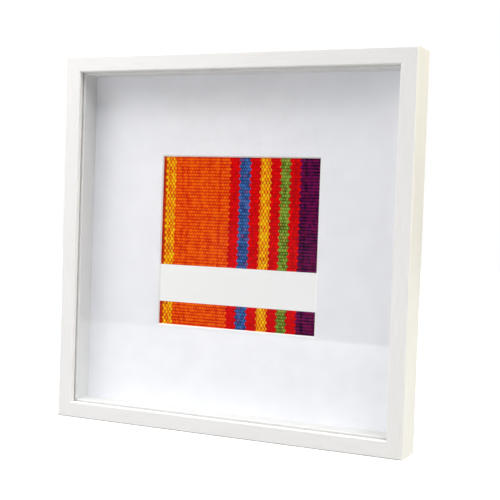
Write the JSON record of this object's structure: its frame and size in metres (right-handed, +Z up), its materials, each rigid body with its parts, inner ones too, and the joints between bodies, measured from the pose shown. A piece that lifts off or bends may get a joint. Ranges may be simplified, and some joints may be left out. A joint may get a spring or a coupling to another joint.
{
  "type": "shadow box frame",
  "caption": "Square white shadow box: mitred rails hold glass, deep spacers, a bevelled mat over a striped print, and a backing board closed by turn buttons.",
  "frame": {"origin": "middle of the base, which is the underside of the bottom rail, at half the frame's depth", "axes": "+X to the viewer's right, +Y from the glass towards the wall, +Z up"},
  "size_m": [0.436, 0.0466, 0.436],
  "materials": {
    "white_frame": "fibreboard moulding wrapped in satin white foil",
    "white_spacer": "fibreboard strip wrapped in matt white paper",
    "clear_glass": "clear float glass, polished",
    "white_mat": "matt board with a bright white core at its cut edge",
    "printed_paper": "satin print of woven stripes with a plain white band",
    "white_board": "matt white foam-cored board",
    "bare_fibreboard": "raw brown fibreboard, smooth",
    "nail_steel": "blued spring steel",
    "zinc_steel": "zinc-plated",
    "nickel_steel": "nickel-plated pressed steel"
  },
  "bodies": {
    "frame": {"rail_top": "white_frame", "rail_bottom": "white_frame", "rail_left": "white_frame", "rail_right": "white_frame", "corner_v_nails": "nail_steel", "turn_button_screws": "zinc_steel", "hanger_strap_left": "nickel_steel", "hanger_strap_right": "nickel_steel", "hanger_screws": "zinc_steel"},
    "glass": {"glass_pane": "clear_glass"},
    "spacer_frame": {"spacer_top": "white_spacer", "spacer_bottom": "white_spacer", "spacer_left": "white_spacer", "spacer_right": "white_spacer"},
    "mat": {"mat_board": "white_mat"},
    "insert": {"insert_sheet": "printed_paper"},
    "mounting": {"mounting_board": "white_board"},
    "backing": {"backing_board": "bare_fibreboard"},
    "turn_button_bottom_left": {"turn_button_bottom_left": "nickel_steel"},
    "turn_button_bottom_right": {"turn_button_bottom_right": "nickel_steel"},
    "turn_button_left_upper": {"turn_button_left_upper": "nickel_steel"},
    "turn_button_left_lower": {"turn_button_left_lower": "nickel_steel"},
    "turn_button_top_right": {"turn_button_top_right": "nickel_steel"},
    "turn_button_top_left": {"turn_button_top_left": "nickel_steel"},
    "turn_button_right_lower": {"turn_button_right_lower": "nickel_steel"},
    "turn_button_right_upper": {"turn_button_right_upper": "nickel_steel"},
    "hanger_ring_left": {"hanger_ring_left": "nickel_steel"},
    "hanger_ring_right": {"hanger_ring_right": "nickel_steel"}
  },
  "joints": [
    {"name": "glass_lift_out", "type": "slide", "parent": "frame", "child": "glass", "axis": [0, 1, 0], "range_m": [0, 0.06]},
    {"name": "spacer_frame_lift_out", "type": "slide", "parent": "glass", "child": "spacer_frame", "axis": [0, 1, 0], "range_m": [0, 0.06]},
    {"name": "mat_lift_out", "type": "slide", "parent": "spacer_frame", "child": "mat", "axis": [0, 1, 0], "range_m": [0, 0.06]},
    {"name": "insert_lift_out", "type": "slide", "parent": "mat", "child": "insert", "axis": [0, 1, 0], "range_m": [0, 0.06]},
    {"name": "mounting_lift_out", "type": "slide", "parent": "insert", "child": "mounting", "axis": [0, 1, 0], "range_m": [0, 0.06]},
    {"name": "backing_lift_out", "type": "slide", "parent": "mounting", "child": "backing", "axis": [0, 1, 0], "range_m": [0, 0.06]},
    {"name": "turn_button_bottom_left_turn", "type": "hinge", "parent": "frame", "child": "turn_button_bottom_left", "pos_m": [-0.11, 0.0215, 0.0065], "axis": [0, -1, 0], "range_deg": [0, 90]},
    {"name": "turn_button_bottom_right_turn", "type": "hinge", "parent": "frame", "child": "turn_button_bottom_right", "pos_m": [0.11, 0.0215, 0.0065], "axis": [0, 1, 0], "range_deg": [0, 90]},
    {"name": "turn_button_left_upper_turn", "type": "hinge", "parent": "frame", "child": "turn_button_left_upper", "pos_m": [-0.2115, 0.0215, 0.328], "axis": [0, -1, 0], "range_deg": [0, 90]},
    {"name": "turn_button_left_lower_turn", "type": "hinge", "parent": "frame", "child": "turn_button_left_lower", "pos_m": [-0.2115, 0.0215, 0.108], "axis": [0, 1, 0], "range_deg": [0, 90]},
    {"name": "turn_button_top_right_turn", "type": "hinge", "parent": "frame", "child": "turn_button_top_right", "pos_m": [0.11, 0.0215, 0.4295], "axis": [0, -1, 0], "range_deg": [0, 90]},
    {"name": "turn_button_top_left_turn", "type": "hinge", "parent": "frame", "child": "turn_button_top_left", "pos_m": [-0.11, 0.0215, 0.4295], "axis": [0, 1, 0], "range_deg": [0, 90]},
    {"name": "turn_button_right_lower_turn", "type": "hinge", "parent": "frame", "child": "turn_button_right_lower", "pos_m": [0.2115, 0.0215, 0.108], "axis": [0, -1, 0], "range_deg": [0, 90]},
    {"name": "turn_button_right_upper_turn", "type": "hinge", "parent": "frame", "child": "turn_button_right_upper", "pos_m": [0.2115, 0.0215, 0.328], "axis": [0, 1, 0], "range_deg": [0, 90]},
    {"name": "hanger_ring_left_swing", "type": "hinge", "parent": "frame", "child": "hanger_ring_left", "pos_m": [-0.211, 0.02328, 0.372], "axis": [-1, 0, 0], "range_deg": [0, 170]},
    {"name": "hanger_ring_right_swing", "type": "hinge", "parent": "frame", "child": "hanger_ring_right", "pos_m": [0.211, 0.02328, 0.372], "axis": [-1, 0, 0], "range_deg": [0, 170]}
  ]
}
